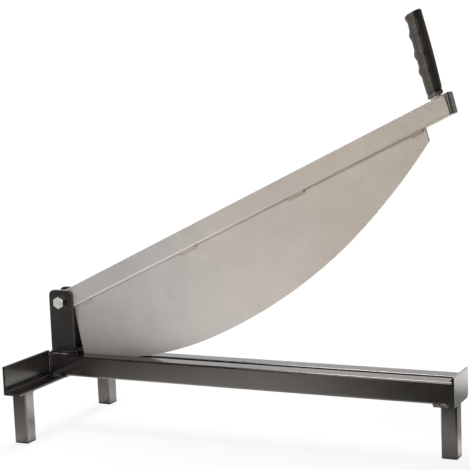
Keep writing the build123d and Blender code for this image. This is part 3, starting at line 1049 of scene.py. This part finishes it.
def grip_swell(height):
    """How far the grip stands out towards the fingers at a height above the arm."""
    swell = 0.0
    for crest in finger_ridges:
        off = min(1.0, abs(height - crest) / ridge_half_width)
        swell += ridge_height * math.cos(math.pi / 2 * off) ** 2
    return swell


def level_ring(height, shift, reach):
    """A ring level with the arm; reach gives the distance out for each turn from the fingers."""
    middle = grip_foot + handle_up * (height / math.cos(lean)) - arm_along * shift
    turns = [2 * math.pi * i / grip_points for i in range(grip_points)]
    return [middle + (front * math.sin(turn) - arm_along * math.cos(turn)) * reach(turn) for turn in turns]


def grip_ring(height, inset=0.0, fluted=1.0):
    """A ring of the grip; fluted runs from 0, smooth, to 1."""
    swell = max(0.0, grip_swell(height) - inset)
    bow = grip_bow * math.sin(math.pi * (height - groove_top) / (grip_top - groove_top))
    line_turn = math.acos((mould_line_side - swell / 2) / grip_radius)

    def reach(turn):
        flute = flute_depth * (1 - math.cos(flutes * turn)) / 2
        from_line = abs(min(turn, 2 * math.pi - turn) - line_turn) / mould_line_width
        raised = mould_line * max(0.0, 1 - from_line ** 2)
        return grip_radius + bow + swell / 2 - inset + fluted * (raised - flute)

    return level_ring(height, swell / 2, reach)


print("grip rings of", grip_points, "points,", flutes, "flutes")

# %% [markdown]
# ## The finger grip
# The skin starts inside, at the top of the bore for the rod, comes down to the foot, goes round the
# collar and the groove above it, and then up the grip to its rounded top.  Collar, groove and grip
# could be three pieces, but a moulding is one skin, and one skin has no seams to hide.

# %% Finger grip
rod_bore = 0.0082
rod_cover = 0.004
grip_lift = 0.0030
collar_and_groove = [(0.0112, grip_lift), (0.0117, 0.0034), (0.0118, 0.0042), (0.0118, 0.0083),
                     (0.0115, 0.0087), (0.0108, 0.0088), (0.0108, 0.0103)]
body_steps = 100
flute_start = 0.002
flute_end = 0.006
foot_bevel = 0.0006
foot_slope = 0.6
edge_round = 0.0025
edge_steps = 6
edge_fluted = 0.4


def round_ring(out, height):
    return level_ring(height, 0.0, lambda turn: out)


grip_rings = [round_ring(rod_bore, grip_top - rod_cover), round_ring(rod_bore, grip_lift)]
grip_rings += [round_ring(out, height) for out, height in collar_and_groove]
body_top = grip_top - edge_round
for i in range(body_steps + 1):
    height = groove_top + (body_top - groove_top) * i / body_steps
    fluted = min(1.0, (height - groove_top) / flute_start, (grip_top - height) / flute_end)
    bevel = max(0.0, foot_bevel - (height - groove_top) * foot_slope)
    grip_rings.append(grip_ring(height, bevel, fluted))
for i in range(1, edge_steps + 1):
    turn = math.pi / 2 * i / edge_steps
    fluted = edge_fluted * (1 - i / edge_steps)
    rounding = edge_round * (1 - math.cos(turn))
    grip_rings.append(grip_ring(body_top + edge_round * math.sin(turn), rounding, fluted))

finger_grip = bmesh.new()
skin(finger_grip, grip_rings)
finish_piece(finger_grip, "finger_grip", "arm", "grip_rubber", "hand_grip", sharp_degrees=60)

# %% [markdown]
# ## Rings of the end cap
# The open end of the arm is plugged with a moulded cap.  Its head carries on the outline of the tube
# and is cut at the same rake.  A bevelled box would do for the head, but not for the plug behind it,
# so both are rings again: rounded rectangles, set further in for the plug.

# %% Rings of the end cap
cap_rake = math.radians(11.0)
cap_tilt = arm_rise - cap_rake
cap_up = Vector((-math.sin(cap_tilt), 0, math.cos(cap_tilt)))
cap_middle = pivot + arm_along * arm_reach
cap_half_width = 0.0125
cap_half_height = arm_half_height / math.cos(cap_rake)
corner_steps = 6
least_radius = 0.0006


def cap_ring(out, inset):
    """Rounded rectangle at a distance out from the end of the tube."""
    radius = max(least_radius, tube_radius - inset)
    ring = []
    for quarter, (side, top) in enumerate(((1, 1), (-1, 1), (-1, -1), (1, -1))):
        for i in range(corner_steps + 1):
            turn = math.pi / 2 * (quarter + i / corner_steps)
            x = side * (cap_half_width - inset - radius) + radius * math.cos(turn)
            y = top * (cap_half_height - inset - radius) + radius * math.sin(turn)
            ring.append(cap_middle + arm_along * out + front * x + cap_up * y)
    return ring


print("cap rings of", 4 * (corner_steps + 1), "points")

# %% [markdown]
# ## The end cap
# The cap is black plastic whose lip, next to the tube, was rubbed grey-brown.  The rub follows the
# distance out from the tube, so no mask is needed.  The head ends in a rounded rim, and a small bevel
# at the tube leaves the joint line that catches the light.

# %% End cap
cap_head = 0.0054
cap_plug = 0.016
plug_inset = 0.0021
plug_bevel = 0.0005
plug_lead = 0.001
joint_bevel = 0.0006
rim = 0.0011
rim_steps = 5
rubbed_plastic = (0.17, 0.145, 0.120)
cap_out = (arm_along - cap_up * arm_along.dot(cap_up)).normalized()


def wear_cap(tree, place, plastic):
    out = measure(tree, "DOT_PRODUCT", join(tree, "SUBTRACT", place, cap_middle), cap_out)
    rub_and_highlight = dim(tree, spread(tree, out, 0.0010, 0.0018, 0.0, 1.0), out, 0.0032, 0.0040, 1.0, 0.0)
    rub_and_highlight = dim(tree, rub_and_highlight, mottle(tree, place, 500, 4.0), 0.3, 0.7, 0.6, 1.0)
    return tint(tree, rub_and_highlight, plastic, rubbed_plastic)


scuffed_plastic = make_moulded("scuffed_plastic", (0.0085, 0.0078, 0.0072), (0.0125, 0.0115, 0.0105),
                               (0.34, 0.46), shine=0.26, wear_and_painted_light=wear_cap)
cap_rings = [cap_ring(-cap_plug, plug_inset + plug_bevel), cap_ring(-cap_plug + plug_lead, plug_inset),
             cap_ring(0.0, plug_inset), cap_ring(0.0, joint_bevel), cap_ring(joint_bevel, 0.0)]
for i in range(rim_steps + 1):
    turn = math.pi / 2 * i / rim_steps
    cap_rings.append(cap_ring(cap_head - rim * (1 - math.sin(turn)), rim * (1 - math.cos(turn))))

end_cap = bmesh.new()
skin(end_cap, cap_rings)
finish_piece(end_cap, "arm_end_cap_moulded", "arm", "black_plastic", "arm_end_cap", finish=scuffed_plastic)
